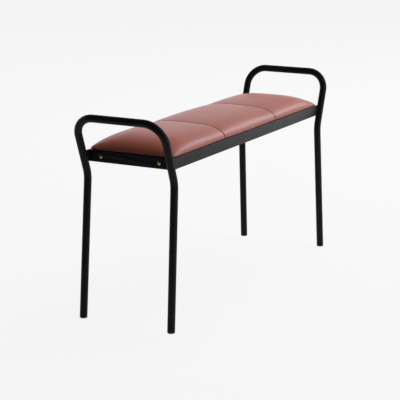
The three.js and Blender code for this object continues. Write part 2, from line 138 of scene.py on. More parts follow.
bpy.ops.object.select_all(action="DESELECT")
bpy.ops.mesh.primitive_plane_add(size=FLOOR_SIZE, location=(0, 0, -FLOOR_DROP))
floor = bpy.context.object
floor.name = "studio_floor"
paper = new_material("studio_paper")
seen = add_node(paper, "ShaderNodeLightPath").outputs
direct = seen["Is Camera Ray"]
for ray in ("Is Glossy Ray", "Is Transmission Ray"):
    direct = add_node(paper, "ShaderNodeMath", {"operation": "MAXIMUM"}, in0=direct, in1=seen[ray])
share = add_node(paper, "ShaderNodeMath", {"operation": "MULTIPLY"}, in0=direct, in1=1 - SHADOW_SHARE)
matt = add_node(paper, "ShaderNodeBsdfDiffuse", Color=PALE)
glow = add_node(paper, "ShaderNodeEmission", Color=PALE, Strength=FLOOR_GLOW)
mixed = add_node(paper, "ShaderNodeMixShader", in0=share, in1=matt, in2=glow)
add_node(paper, "ShaderNodeOutputMaterial", Surface=mixed)
floor.data.materials.append(paper)
print("floor made")

# %% [markdown]
# The air around the bench answers each kind of ray in its own way. The camera sees the
# pale colour of the floor. A glossy surface mirrors a room with bright, slightly cool walls
# and a dark ceiling, which gives the leather its sheen and lets the tubes stay black.
# Everything else gets a low, even light.

# %% Surroundings
COOL = linear("#f3f3fd")
AMBIENT = 0.27
WALLS = 1.75
CEILING = 0.1
WALLS_END = 0.25  # upward part of a direction at which the walls begin to darken
CEILING_START = 0.6

world = bpy.data.worlds.new("studio_air")
scene.world = world
world.use_nodes = True
world.node_tree.nodes.clear()
seen = add_node(world, "ShaderNodeLightPath").outputs
direct = add_node(
    world,
    "ShaderNodeMath",
    {"operation": "MAXIMUM"},
    in0=seen["Is Camera Ray"],
    in1=seen["Is Transmission Ray"],
)
way = add_node(world, "ShaderNodeTexCoord").outputs["Generated"]
way = add_node(world, "ShaderNodeSeparateXYZ", Vector=way).outputs
walls = add_node(
    world,
    "ShaderNodeMapRange",
    Value=way["Z"],
    From_Min=WALLS_END,
    From_Max=CEILING_START,
    To_Min=WALLS,
    To_Max=CEILING,
)
around = add_node(world, "ShaderNodeBackground", Color=PALE, Strength=AMBIENT)
room = add_node(world, "ShaderNodeBackground", Color=COOL, Strength=walls)
backdrop = add_node(world, "ShaderNodeBackground", Color=PALE, Strength=1.0)
mixed = add_node(world, "ShaderNodeMixShader", in0=seen["Is Glossy Ray"], in1=around, in2=room)
mixed = add_node(world, "ShaderNodeMixShader", in0=direct, in1=mixed, in2=backdrop)
add_node(world, "ShaderNodeOutputWorld", Surface=mixed)
print("surroundings made")

# %% [markdown]
# Two soft boxes light the bench from the right, a little to the front. The main one is
# very large and hangs high. It is kept out of reflections, where it would wash out the
# leather. The key is small, slightly cool and hangs lower, so the front roll of the leather
# catches a long highlight.

# %% Soft boxes
SEAT_MIDDLE = Vector((0, 0, 0.5))
MAIN_SPOT = Vector((3.6, -1.15, 4.6))
MAIN_SIDE = 5.6
MAIN_WATTS = 350
KEY_SPOT = Vector((3.6, -1.2, 2.5))
KEY_WIDTH = 1.3
KEY_HEIGHT = 1.6
KEY_WATTS = 48


def soft_box(name, spot, width, height, watts):
    """A rectangular lamp at a spot, turned to face the middle of the seat."""
    bpy.ops.object.select_all(action="DESELECT")
    bpy.ops.object.light_add(type="AREA", location=spot)
    lamp = bpy.context.object
    lamp.name = name
    lamp.rotation_euler = (SEAT_MIDDLE - spot).to_track_quat("-Z", "Y").to_euler()
    lamp.data.shape = "RECTANGLE"
    lamp.data.size = width
    lamp.data.size_y = height
    lamp.data.energy = watts
    return lamp


main_box = soft_box("main_box", MAIN_SPOT, MAIN_SIDE, MAIN_SIDE, MAIN_WATTS)
main_box.visible_glossy = False
key_box = soft_box("key_box", KEY_SPOT, KEY_WIDTH, KEY_HEIGHT, KEY_WATTS)
key_box.data.color = linear("#f3f3ff")[:3]
print("two soft boxes made")

# %% [markdown]
# A dark panel, which a photographer calls a flag, stands to the left. It takes the light
# away from that side, so the near end of the leather stays deep in colour and the steel
# stays black. The camera doesn't see it.

# %% Flag
FLAG_SPOT = (-1.7, -0.6, 1.2)
FLAG_HEIGHT = 2.4
FLAG_LENGTH = 6.0

bpy.ops.object.select_all(action="DESELECT")
bpy.ops.mesh.primitive_plane_add(size=1, location=FLAG_SPOT, rotation=(0, math.radians(90), 0))
flag = bpy.context.object
flag.name = "side_flag"
flag.scale = (FLAG_HEIGHT, FLAG_LENGTH, 1)
flag_cloth = new_material("black_flag_cloth")
dull = add_node(flag_cloth, "ShaderNodeBsdfDiffuse", Color=linear("#161616"))
add_node(flag_cloth, "ShaderNodeOutputMaterial", Surface=dull)
flag.data.materials.append(flag_cloth)
flag.visible_camera = False
print("flag made")

# %% [markdown]
# ## Materials
# Each finish starts from what the real surface is. The steel is powder coated: a black
# skin, baked on, with a faint orange-peel ripple. It is matt on the tubes and brackets and
# satin on the rails. Bolts are satin brass, hidden fasteners are zinc plated, the feet are
# moulded plastic, and the cover is smooth leather.

# %% Powder-coated steel
PEEL = 1.6 * MM  # width of one ripple of the coat
DRIFT = 45 * MM  # size of its slightly duller and lighter patches


def powder_coat(name, dark, light, gloss):
    """Black powder coat on steel: a rippled skin with the IOR of a polyester resin."""
    material = new_material(name)
    place = add_node(material, "ShaderNodeTexCoord").outputs["Object"]
    peel = add_node(material, "ShaderNodeTexNoise", Vector=place, Scale=1 / PEEL, Detail=2.0)
    drift = add_node(material, "ShaderNodeTexNoise", Vector=place, Scale=1 / DRIFT, Detail=3.0)
    dusty = add_node(material, "ShaderNodeMapRange", Value=drift, To_Min=0.42, To_Max=0.54)
    stops = [(0.3, dark), (0.7, light)]
    tint = add_node(material, "ShaderNodeValToRGB", {"stops": stops}, Fac=drift)
    bump = add_node(material, "ShaderNodeBump", Height=peel, Strength=0.12, Distance=0.03 * MM)
    coat = add_node(
        material,
        "ShaderNodeBsdfPrincipled",
        Base_Color=tint,
        Roughness=dusty,
        IOR=1.5,
        Specular_IOR_Level=gloss,
        Normal=bump,
    )
    add_node(material, "ShaderNodeOutputMaterial", Surface=coat)
    return material


TUBE_COAT = powder_coat("matt_powder_coat", "#18181a", "#1e1e20", 0.09)
RAIL_COAT = powder_coat("satin_powder_coat", "#0c0c0d", "#101011", 0.3)
print(TUBE_COAT.name, RAIL_COAT.name)

# %% Brass, zinc and plastic
BRUSH = 0.4 * MM  # spacing of the turning marks
ZINC_GRAIN = 0.8 * MM
PATINA = 6 * MM
SPARK = 0.6 * MM  # grain of the mould for the foot plugs


def turned_metal(name, dark, light, low, high, grain_size):
    """A metal with fine tool marks; a metal keeps the default IOR."""
    material = new_material(name)
    place = add_node(material, "ShaderNodeTexCoord").outputs["Object"]
    grain = add_node(material, "ShaderNodeTexNoise", Vector=place, Scale=1 / grain_size, Detail=4.0)
    patina = add_node(material, "ShaderNodeTexNoise", Vector=place, Scale=1 / PATINA, Detail=3.0)
    stops = [(0.35, dark), (0.65, light)]
    tint = add_node(material, "ShaderNodeValToRGB", {"stops": stops}, Fac=patina)
    satin = add_node(material, "ShaderNodeMapRange", Value=grain, To_Min=low, To_Max=high)
    bump = add_node(material, "ShaderNodeBump", Height=grain, Strength=0.15, Distance=0.02 * MM)
    metal = add_node(
        material, "ShaderNodeBsdfPrincipled", Base_Color=tint, Metallic=1.0, Roughness=satin, Normal=bump
    )
    add_node(material, "ShaderNodeOutputMaterial", Surface=metal)
    return material


def moulded_plastic():
    """Black polyethylene from a spark-eroded mould: matt, with a fine even grain."""
    material = new_material("moulded_polyethylene")
    place = add_node(material, "ShaderNodeTexCoord").outputs["Object"]
    grain = add_node(material, "ShaderNodeTexNoise", Vector=place, Scale=1 / SPARK, Detail=2.0)
    worn = add_node(material, "ShaderNodeMapRange", Value=grain, To_Min=0.5, To_Max=0.68)
    blacks = [(0.3, "#101010"), (0.7, "#181818")]
    tint = add_node(material, "ShaderNodeValToRGB", {"stops": blacks}, Fac=grain)
    bump = add_node(material, "ShaderNodeBump", Height=grain, Strength=0.2, Distance=0.05 * MM)
    plastic = add_node(
        material, "ShaderNodeBsdfPrincipled", Base_Color=tint, Roughness=worn, IOR=1.51, Normal=bump
    )
    add_node(material, "ShaderNodeOutputMaterial", Surface=plastic)
    return material


BRASS = turned_metal("satin_brass", "#bb9863", "#d6b37e", 0.4, 0.55, BRUSH)
ZINC = turned_metal("zinc_plated_steel", "#9a9fa3", "#b9bdc0", 0.3, 0.5, ZINC_GRAIN)
PLASTIC = moulded_plastic()
print(BRASS.name, ZINC.name, PLASTIC.name)

# %% [markdown]
# The leather is a corrected-grain hide with a semi-gloss finish: a reddish brown, slightly
# clouded, with a fine pebble of pores. The pores are about a millimetre wide on the real
# hide, so the bump is kept shallow, and the furrows between them are only a little darker.
# Where the leather turns into a seam, shade is painted into its colour as a dark line, and it is dull
# there.

# %% Leather
PORE = 1.3 * MM
PORE_SLOPE = 0.25  # share of a pore over which its rim slopes
PORE_TINT = 0.25  # how much the pores count in the colour, beside the clouds
CLOUD = 70 * MM
SEAM_X = 0.172
# painted shade: SEAM_SHADE is the half width of the dark band painted along each seam, where its groove
# is in shade
SEAM_SHADE = 1.7 * MM  # half width of the darker line where the leather turns into a seam


def leather():
    """Semi-gloss leather with clouded colour, pores, and painted shade along the seams."""
    material = new_material("semi_gloss_leather")
    place = add_node(material, "ShaderNodeTexCoord").outputs["Object"]
    cloud = add_node(
        material, "ShaderNodeTexNoise", Vector=place, Scale=1 / CLOUD, Detail=6.0, Roughness=0.6
    )
    pores = add_node(
        material, "ShaderNodeTexVoronoi", {"feature": "DISTANCE_TO_EDGE"}, Vector=place, Scale=1 / PORE
    )
    rounded = add_node(material, "ShaderNodeMapRange", Value=pores, From_Max=PORE_SLOPE)
    depth = add_node(
        material, "ShaderNodeMath", {"operation": "MULTIPLY_ADD"}, in0=rounded, in1=PORE_TINT, in2=cloud
    )
    browns = [(0.4, "#924934"), (0.9, "#a6563e")]
    tint = add_node(material, "ShaderNodeValToRGB", {"stops": browns}, Fac=depth)
    along = add_node(material, "ShaderNodeSeparateXYZ", Vector=place)
    side = add_node(material, "ShaderNodeMath", {"operation": "ABSOLUTE"}, in0=along)
    off = add_node(material, "ShaderNodeMath", {"operation": "SUBTRACT"}, in0=side, in1=SEAM_X)
    off = add_node(material, "ShaderNodeMath", {"operation": "ABSOLUTE"}, in0=off)
    # painted shade: near each seam the colour is drawn towards a dark brown, standing in for the shade
    # in the seam's groove
    line = add_node(
        material,
        "ShaderNodeMapRange",
        {"interpolation_type": "SMOOTHSTEP"},
        Value=off,
        From_Max=SEAM_SHADE,
        To_Min=0.95,
        To_Max=0.0,
    )
    # 2c130f below is the dark brown of the painted seam shade
    shaded = add_node(
        material, "ShaderNodeMix", {"data_type": "RGBA"}, in0=line, in6=tint, in7=linear("#2c130f")
    )
    polish = add_node(material, "ShaderNodeMapRange", Value=cloud, To_Min=0.45, To_Max=0.53)
    dull = add_node(material, "ShaderNodeMix", {"data_type": "FLOAT"}, in0=line, in2=polish, in3=1.0)
    glaze = add_node(material, "ShaderNodeMapRange", Value=line, To_Min=0.15, To_Max=0.0)
    bump = add_node(material, "ShaderNodeBump", Height=rounded, Strength=0.35, Distance=0.1 * MM)
    hide = add_node(
        material,
        "ShaderNodeBsdfPrincipled",
        Base_Color=shaded.outputs[2],
        Roughness=dull,
        IOR=1.48,
        Coat_Weight=glaze,
        Coat_Roughness=0.32,
        Normal=bump,
    )
    add_node(material, "ShaderNodeOutputMaterial", Surface=hide)
    return material


LEATHER = leather()
print(LEATHER.name)

# %% [markdown]
# Inside the cover are a block of open-cell foam and a birch plywood board, and a black
# non-woven cloth closes the underside. They hardly show, but each keeps its own finish.

# %% Foam, plywood and cloth
CELL = 1.5 * MM
PLY = 1.5 * MM
GRAIN_LENGTH = 120 * MM
GRAIN_WIDTH = 4 * MM
FIBRE = 0.9 * MM
WELD_DOT = 2.5 * MM
WAVE_PERIOD = math.pi / 10  # length of one wave of the wave texture at a scale of 1


def upholstery_foam():
    """Cream polyurethane foam: dull, full of open cells."""
    material = new_material("polyurethane_foam")
    place = add_node(material, "ShaderNodeTexCoord").outputs["Object"]
    cells = add_node(material, "ShaderNodeTexVoronoi", Vector=place, Scale=1 / CELL)
    creams = [(0.1, "#cdbf98"), (0.6, "#e6dbb8")]
    tint = add_node(material, "ShaderNodeValToRGB", {"stops": creams}, Fac=cells)
    bump = add_node(material, "ShaderNodeBump", Height=cells, Strength=0.4, Distance=0.3 * MM)
    body = add_node(material, "ShaderNodeBsdfPrincipled", Base_Color=tint, Roughness=0.95, Normal=bump)
    add_node(material, "ShaderNodeOutputMaterial", Surface=body)
    return material


def birch_plywood():
    """Raw birch plywood: plies seen at the edge, soft grain along the face."""
    material = new_material("birch_plywood")
    place = add_node(material, "ShaderNodeTexCoord").outputs["Object"]
    stretch = (1 / GRAIN_LENGTH, 1 / GRAIN_WIDTH, 1 / GRAIN_WIDTH)
    stretched = add_node(material, "ShaderNodeMapping", Vector=place, Scale=stretch)
    grain = add_node(material, "ShaderNodeTexNoise", Vector=stretched, Scale=1.0, Detail=5.0)
    plies = add_node(
        material,
        "ShaderNodeTexWave",
        {"bands_direction": "Z"},
        Vector=place,
        Scale=WAVE_PERIOD / PLY,
        Distortion=0.3,
    ).outputs["Fac"]
    mixed = add_node(material, "ShaderNodeMix", {"data_type": "FLOAT"}, in0=0.4, in2=grain, in3=plies)
    woods = [(0.2, "#a98355"), (0.8, "#d8b98a")]
    tint = add_node(material, "ShaderNodeValToRGB", {"stops": woods}, Fac=mixed)
    bump = add_node(material, "ShaderNodeBump", Height=grain, Strength=0.2, Distance=0.1 * MM)
    board = add_node(material, "ShaderNodeBsdfPrincipled", Base_Color=tint, Roughness=0.7, Normal=bump)
    add_node(material, "ShaderNodeOutputMaterial", Surface=board)
    return material


def non_woven_cloth():
    """Black spun-bonded polypropylene: felted fibres and a grid of weld dots."""
    material = new_material("spun_bonded_cloth")
    place = add_node(material, "ShaderNodeTexCoord").outputs["Object"]
    fibres = add_node(material, "ShaderNodeTexNoise", Vector=place, Scale=1 / FIBRE, Detail=6.0)
    dots = add_node(material, "ShaderNodeTexVoronoi", Vector=place, Scale=1 / WELD_DOT, Randomness=0.15)
    blacks = [(0.3, "#141414"), (0.75, "#262626")]
    tint = add_node(material, "ShaderNodeValToRGB", {"stops": blacks}, Fac=fibres)
    bump = add_node(material, "ShaderNodeBump", Height=dots, Strength=0.3, Distance=0.15 * MM)
    felt = add_node(material, "ShaderNodeBsdfPrincipled", Base_Color=tint, Roughness=0.9, Normal=bump)
    add_node(material, "ShaderNodeOutputMaterial", Surface=felt)
    return material


FOAM = upholstery_foam()
PLYWOOD = birch_plywood()
CLOTH = non_woven_cloth()
print(FOAM.name, PLYWOOD.name, CLOTH.name)

# %% [markdown]
# ## Modelling helpers
# An operator acts on everything that is selected, so each helper starts by deselecting.
# A finished piece gets its material, rides on the one body of this rigid bench, and hides
# the measured solid that it stands for.

# %% Modelling helpers
BODY = "root"
EXACT = 0.001 * MM  # points nearer than this count as one, or as lying on a plane
SOLID_MERGE = 0.01 * MM
SOLID_FLAT = math.radians(0.5)  # triangles that meet at less than this become one face


def start_fresh():
    """Leaves nothing selected, in object mode."""
    if bpy.context.object and bpy.context.object.mode != "OBJECT":
        bpy.ops.object.mode_set(mode="OBJECT")
    bpy.ops.object.select_all(action="DESELECT")


def only(piece):
    """Makes one piece the selected and active one."""
    start_fresh()
    piece.select_set(True)
    bpy.context.view_layer.objects.active = piece


def edit_all():
    """Goes into edit mode with everything selected."""
    bpy.ops.object.mode_set(mode="EDIT")
    bpy.ops.mesh.select_all(action="SELECT")


def face_outwards():
    """Turns all faces outwards and leaves edit mode."""
    bpy.ops.mesh.select_all(action="SELECT")
    bpy.ops.mesh.normals_make_consistent(inside=False)
    bpy.ops.object.mode_set(mode="OBJECT")


def pick(piece, kind, test):
    """In edit mode, selects just the verts, edges or faces that pass a test."""
    bpy.ops.mesh.select_mode(type={"verts": "VERT", "edges": "EDGE", "faces": "FACE"}[kind])
    mesh = bmesh.from_edit_mesh(piece.data)
    for group in (mesh.verts, mesh.edges, mesh.faces):
        for element in group:
            element.select_set(False)
    for element in getattr(mesh, kind):
        if test(element):
            element.select_set(True)
    mesh.select_flush_mode()
    bmesh.update_edit_mesh(piece.data)


def apply_modifier(piece, kind, **settings):
    """Adds a modifier with its settings and applies it."""
    only(piece)
    modifier = piece.modifiers.new(kind.lower(), kind)
    for name, value in settings.items():
        setattr(modifier, name, value)
    bpy.ops.object.modifier_apply(modifier=modifier.name)


def smooth(piece, degrees=35):
    """Smooth shading, with creases kept where faces meet at more than an angle."""
    only(piece)
    bpy.ops.object.shade_smooth_by_angle(angle=math.radians(degrees))


def finish_piece(piece, name, material, nodes=()):
    """Names and dresses a piece, sets it on the body and hides the measured solids it stands for."""
    only(piece)
    bpy.ops.object.transform_apply()
    piece.name = name
    piece.data.name = name
    piece.data.materials.clear()
    piece.data.materials.append(material)
    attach(piece, BODY)
    if nodes:
        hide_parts(*nodes)


def copy_of(node):
    """A copy of a measured solid with its loose triangles merged into one skin."""
    piece = bpy.data.objects.new("copy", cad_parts[node].data.copy())
    scene.collection.objects.link(piece)
    only(piece)
    edit_all()
    bpy.ops.mesh.remove_doubles(threshold=SOLID_MERGE)
    bpy.ops.mesh.dissolve_limited(angle_limit=SOLID_FLAT)
    bpy.ops.object.mode_set(mode="OBJECT")
    return piece


def turned(start, along, profile, sides):
    """A turned piece: a disc that is extruded and scaled through (radius, height) steps."""
    along = Vector(along).normalized()
    first = Vector(start) + along * profile[0][1]
    start_fresh()
    bpy.ops.mesh.primitive_circle_add(
        vertices=sides,
        radius=profile[0][0],
        location=first,
        rotation=along.to_track_quat("Z", "Y").to_euler(),
    )
    piece = bpy.context.object
    bpy.ops.object.transform_apply()
    edit_all()
    bpy.ops.mesh.edge_face_add()
    bpy.ops.mesh.select_mode(type="EDGE")
    for (radius, height), (last_radius, last_height) in zip(profile[1:], profile):
        step = along * (height - last_height)
        bpy.ops.mesh.extrude_region_move(TRANSFORM_OT_translate={"value": step})
        ratio = radius / last_radius
        centre = Vector(start) + along * height
        bpy.ops.transform.resize(value=(ratio, ratio, ratio), center_override=centre)
    bpy.ops.mesh.select_all(action="SELECT")
    bpy.ops.mesh.remove_doubles(threshold=EXACT)
    face_outwards()
    return piece


def place_copy(piece, spot=(0, 0, 0), turn=0.0):
    """A copy with its own mesh, turned about the upright axis and set at a spot."""
    only(piece)
    bpy.ops.object.duplicate()
    copy = bpy.context.object
    copy.rotation_euler = (0, 0, turn)
    copy.location = spot
    return copy


def cut_away(piece, cutter):
    """Cuts one shape out of another and removes the cutter."""
    apply_modifier(piece, "BOOLEAN", operation="DIFFERENCE", solver="EXACT", object=cutter)
    bpy.data.objects.remove(cutter)


print("helpers ready")

# %% [markdown]
# ## The end frames
# Each end frame is a single steel tube, 22 mm across with a 1.5 mm wall. It runs up from
# one foot, kinks outwards below the seat, turns over into the handle and comes down again.
# A ring is extruded along each straight and spun round each bend, as a tube bender would
# do it. Solidify then gives the wall, so the tube is truly hollow.

# %% Bent tubes
TUBE_RADIUS = 11 * MM
TUBE_WALL = 1.5 * MM
TUBE_LINE = 140 * MM  # from the middle of the bench to the line of an upright
FOOT_FLARE = 4.6 * MM  # how much further out a foot stands
KINK_X = 481.7 * MM
KINK_Z = 416.9 * MM
HANDLE_TOP = 601 * MM
LEG_SPLAY = math.radians(4.4)
HANDLE_LEAN = math.radians(20)
KINK_RADIUS = 85 * MM
HANDLE_RADIUS = 60 * MM
PLUG_HEIGHT = 5 * MM  # what shows of a foot plug below the tube
TUBE_SIDES = 48
BEND_STEP = math.radians(4)


def upright_x(height):
    """Where the upright of the left end stands at a height above the kink."""
    return -KINK_X - (height - KINK_Z) * math.tan(HANDLE_LEAN)


def foot_spot(side):
    """Where the line of a leg of the left end meets the floor."""
    return Vector((-KINK_X - KINK_Z * math.tan(LEG_SPLAY), side * (TUBE_LINE + FOOT_FLARE), 0))


def kink_corner(side):
    """Where the lines of a leg and its upright meet."""
    return Vector((-KINK_X, side * TUBE_LINE, KINK_Z))


def handle_corner(side):
    """Where the lines of an upright and the handle bar meet."""
    height = HANDLE_TOP - TUBE_RADIUS
    return Vector((upright_x(height), side * TUBE_LINE, height))


def leg_way(side):
    """The direction up a leg."""
    return (kink_corner(side) - foot_spot(side)).normalized()


def bent_tube(corners, radii):
    """A ring carried along the straights and spun round the bends."""
    start_fresh()
    way = (corners[1] - corners[0]).normalized()
    bpy.ops.mesh.primitive_circle_add(
        vertices=TUBE_SIDES,
        radius=TUBE_RADIUS,
        location=corners[0],
        rotation=way.to_track_quat("Z", "Y").to_euler(),
    )
    tube = bpy.context.object
    bpy.ops.object.transform_apply()
    edit_all()
    at = corners[0]
    for before, corner, after, radius in zip(corners, corners[1:], corners[2:], radii):
        arriving = (corner - before).normalized()
        leaving = (after - corner).normalized()
        angle = arriving.angle(leaving)
        axis = arriving.cross(leaving).normalized()
        bend_start = corner - arriving * radius * math.tan(angle / 2)
        bpy.ops.mesh.extrude_region_move(TRANSFORM_OT_translate={"value": bend_start - at})
        centre = bend_start + axis.cross(arriving) * radius
        # the operator turns against the right-hand rule, hence the minus sign
        bpy.ops.mesh.spin(steps=math.ceil(angle / BEND_STEP), angle=-angle, center=centre, axis=axis)
        at = corner + leaving * radius * math.tan(angle / 2)
    bpy.ops.mesh.extrude_region_move(TRANSFORM_OT_translate={"value": corners[-1] - at})
    bpy.ops.mesh.select_all(action="SELECT")
    bpy.ops.mesh.remove_doubles(threshold=EXACT)
    face_outwards()
    apply_modifier(tube, "SOLIDIFY", thickness=TUBE_WALL, offset=-1)
    smooth(tube)
    return tube


FRONT, REAR = -1, 1
SIDES = ((FRONT, "front", "rear"), (REAR, "rear", "front"))  # half a turn swaps the names
left_tube = bent_tube(
    [
        foot_spot(FRONT) + leg_way(FRONT) * PLUG_HEIGHT,
        kink_corner(FRONT),
        handle_corner(FRONT),
        handle_corner(REAR),
        kink_corner(REAR),
        foot_spot(REAR) + leg_way(REAR) * PLUG_HEIGHT,
    ],
    [KINK_RADIUS, HANDLE_RADIUS, HANDLE_RADIUS, KINK_RADIUS],
)
right_tube = place_copy(left_tube, turn=math.pi)
finish_piece(left_tube, "left_end_tube", TUBE_COAT, ["left_leg_frame"])
finish_piece(right_tube, "right_end_tube", TUBE_COAT, ["right_leg_frame"])
print("tubes", len(left_tube.data.polygons), "faces each")

# %% [markdown]
# ## The feet
# A plastic plug closes each leg. It is turned about the line of the leg, which leans, with
# a spigot that stands in the tube. A bisect then cuts its underside level with the floor.

# %% Foot plugs
FIT = 0.3 * MM  # clearance between plug and tube
PLUG_TOP = PLUG_HEIGHT - FIT
PLUG_ROUNDING = 2 * MM
PLUG_STEPS = 6
PLUG_CHAMFER = 0.4 * MM
PLUG_CORE = 2 * MM  # radius at which both ends are closed
SPIGOT_RADIUS = TUBE_RADIUS - TUBE_WALL - FIT
SPIGOT_TOP = PLUG_HEIGHT + 14 * MM
SPIGOT_CHAMFER = 1 * MM

plug_profile = [(PLUG_CORE, -PLUG_ROUNDING), (TUBE_RADIUS - PLUG_ROUNDING, -PLUG_ROUNDING)]
for step in range(PLUG_STEPS + 1):
    turn = math.radians(90) * step / PLUG_STEPS
    radius = TUBE_RADIUS - PLUG_ROUNDING * (1 - math.sin(turn))
    plug_profile.append((radius, PLUG_ROUNDING * (1 - math.cos(turn))))
plug_profile += [
    (TUBE_RADIUS, PLUG_TOP - PLUG_CHAMFER),
    (TUBE_RADIUS - PLUG_CHAMFER, PLUG_TOP),
    (SPIGOT_RADIUS, PLUG_TOP),
    (SPIGOT_RADIUS, SPIGOT_TOP - SPIGOT_CHAMFER),
    (SPIGOT_RADIUS - SPIGOT_CHAMFER, SPIGOT_TOP),
    (PLUG_CORE, SPIGOT_TOP),
]


def foot_plug(side):
    """One plug of the left end, cut level at the floor."""
    plug = turned(foot_spot(side), leg_way(side), plug_profile, TUBE_SIDES)
    edit_all()
    bpy.ops.mesh.bisect(
        plane_co=(0, 0, 0), plane_no=(0, 0, 1), use_fill=True, clear_inner=True, threshold=EXACT
    )
    face_outwards()
    smooth(plug)
    return plug


for side, near, far in SIDES:
    plug = foot_plug(side)
    opposite = place_copy(plug, turn=math.pi)
    finish_piece(plug, f"foot_left_{near}", PLASTIC, [f"foot_plug_left_{near}"])
    finish_piece(opposite, f"foot_right_{far}", PLASTIC, [f"foot_plug_right_{far}"])
print("four feet made")

# %% [markdown]
# ## The seat frame and its brackets
# Four lengths of angle steel are mitred and welded into a rectangle. A pressed bracket at
# each end reaches out to the tubes with two ears. Their measured shapes are right, so each
# is a copy whose sharp edges get the small round that a powder coat leaves. The solids keep
# a fine gap at the mitres, which is closed here as the weld would close it.

# %% Rails and brackets
COAT_ROUND = 0.6 * MM
COAT_EDGE = math.radians(50)  # edges that are sharper than this get the round
MITRE_GAP = 0.29 * MM  # what a weld fills at each end of a rail
SLANTED = 0.6  # least part of a mitre's normal along its rail, and across it


def close_mitres(rail, axis):
    """Moves the slanted end faces of a rail out along it until they meet the next rail."""
    bpy.ops.object.mode_set(mode="EDIT")
    for way in (-1, 1):
        pick(
            rail,
            "faces",
            lambda face: face.normal[axis] * way > SLANTED and abs(face.normal[1 - axis]) > SLANTED,
        )
        step = Vector((0, 0, 0))
        step[axis] = way * MITRE_GAP
        bpy.ops.transform.translate(value=step)
    bpy.ops.object.mode_set(mode="OBJECT")


for node, axis in (
    ("front_rail", 0),
    ("rear_rail", 0),
    ("left_end_rail", 1),
    ("right_end_rail", 1),
    ("left_end_bracket", None),
    ("right_end_bracket", None),
):
    steel = copy_of(node)
    if axis is not None:
        close_mitres(steel, axis)
    apply_modifier(
        steel,
        "BEVEL",
        width=COAT_ROUND,
        segments=3,
        limit_method="ANGLE",
        angle_limit=COAT_EDGE,
    )
    smooth(steel)
    coat = TUBE_COAT if axis is None else RAIL_COAT
    finish_piece(steel, f"{node}_steel", coat, [node])
    print(steel.name, len(steel.data.polygons), "faces")

# %% [markdown]
# Where an ear meets its tube there is a short weld, painted over with the rest. Each is a
# ring that is extruded along the joint and swells and shrinks a little, as the pool of a
# weld does from dab to dab.

# %% Weld beads
RAIL_BOTTOM = 455 * MM
RAIL_TOP = 488 * MM
EAR_MIDDLE = 135.5 * MM
BEAD_RADIUS = 1.9 * MM
BEAD_VALLEY = 0.86 * BEAD_RADIUS
BEAD_END = 0.8 * BEAD_RADIUS
BEAD_TIP = 0.5 * MM
BEAD_DAB = 2.4 * MM
BEAD_PEAK = 0.35  # share of a dab from its thickest ring to its end
BEAD_SHORT = 1.5 * MM  # how far a bead stops short of the rail's edges
BEAD_SIDES = 16
EAR_HALF = 1.5 * MM


def weld_bead(side, face):
    """A bead up the joint of an ear of the left end, on the ear's outer or inner face."""
    y = EAR_MIDDLE + face * EAR_HALF
    to_tube = math.sqrt(TUBE_RADIUS**2 - (TUBE_LINE - y) ** 2) / math.cos(HANDLE_LEAN)
    way = Vector((-math.sin(HANDLE_LEAN), 0, math.cos(HANDLE_LEAN)))
    low = Vector((upright_x(RAIL_BOTTOM) + to_tube, side * y, RAIL_BOTTOM + BEAD_SHORT))
    length = (RAIL_TOP - RAIL_BOTTOM - 2 * BEAD_SHORT) / way.z
    dabs = int(length / BEAD_DAB)
    profile = [(BEAD_TIP, 0), (BEAD_END, BEAD_TIP)]
    for dab in range(1, dabs):
        profile.append((BEAD_RADIUS, (dab - BEAD_PEAK) * BEAD_DAB))
        profile.append((BEAD_VALLEY, dab * BEAD_DAB))
    profile += [(BEAD_END, length - BEAD_TIP), (BEAD_TIP, length)]
    bead = turned(low, way, profile, BEAD_SIDES)
    smooth(bead, 60)
    return bead


for side, near, far in SIDES:
    for face, where in ((1, "outer"), (-1, "inner")):
        bead = weld_bead(side, face)
        opposite = place_copy(bead, turn=math.pi)
        finish_piece(bead, f"weld_left_{near}_{where}", TUBE_COAT)
        finish_piece(opposite, f"weld_right_{far}_{where}", TUBE_COAT)
print("eight weld beads made")

# %% [markdown]
# ## The bolts
# Two brass bolts at each end hold the bracket to the seat frame. The domed head has a
# hexagon socket, and the thread shows behind the nut. A bolt is turned once along +X, with
# the seat of its head at zero, and then copied to its four places.

# %% Brass bolts, washers and nuts
HEAD_RADIUS = 5.5 * MM
HEAD_HEIGHT = 3.4 * MM
HEAD_CHAMFER = 0.25 * MM
HEAD_STEPS = 10
SHANK_RADIUS = 3 * MM
SOCKET_FLATS = 4 * MM
SOCKET_DEPTH = 2 * MM
THREAD_PITCH = 1 * MM
THREAD_DEPTH = 0.35 * MM
THREAD_START = 1 * MM
TIP_CHAMFER = 0.7 * MM
TIP_CORE = 0.4 * MM  # radius at which the tip is closed
BOLT_SIDES = 40
BOLT_Y = 94 * MM
BOLT_Z = 471 * MM
BOLT_SEAT = -483.8 * MM
BOLT_TIP = 14.9 * MM
WASHER_ROUND = 0.25 * MM
NUT_ROUND = 0.5 * MM
PLATED_EDGE = math.radians(40)  # edges of washers and nuts that are sharper get the round

